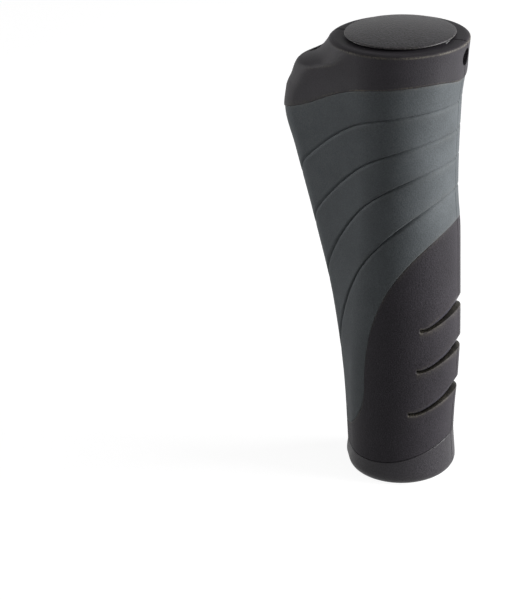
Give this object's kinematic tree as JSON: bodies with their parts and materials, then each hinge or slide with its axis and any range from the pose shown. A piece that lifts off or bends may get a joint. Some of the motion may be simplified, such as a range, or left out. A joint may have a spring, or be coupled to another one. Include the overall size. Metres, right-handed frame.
{
  "type": "handlebar grip",
  "caption": "Wing-shaped bicycle handlebar grip in black and grey rubber over a rigid sleeve, with an aluminium clamp ring and a push-in end plug.",
  "frame": {"origin": "centre of the inboard end face, on the axis of the handlebar bore", "axes": "+Z along the bore towards the outboard end with the plug; the palm wing points to -X; the side that shows in the picture faces -Y"},
  "size_m": [0.0545, 0.0394, 0.1379],
  "materials": {
    "black_rubber": "satin, fine grain",
    "grey_rubber": "matt, fine grain",
    "black_plastic": "satin",
    "aluminium": "bright, turned",
    "screw_steel": "bright"
  },
  "bodies": {
    "root": {"core_sleeve": "black_plastic", "grip_body": "black_rubber", "palm_inlay": "grey_rubber", "outboard_end_piece": "black_rubber", "clamp_ring": "aluminium", "grub_screw_wing": "screw_steel", "grub_screw_back": "screw_steel", "grub_screw_underside": "screw_steel", "end_plug": "black_plastic"}
  },
  "joints": []
}
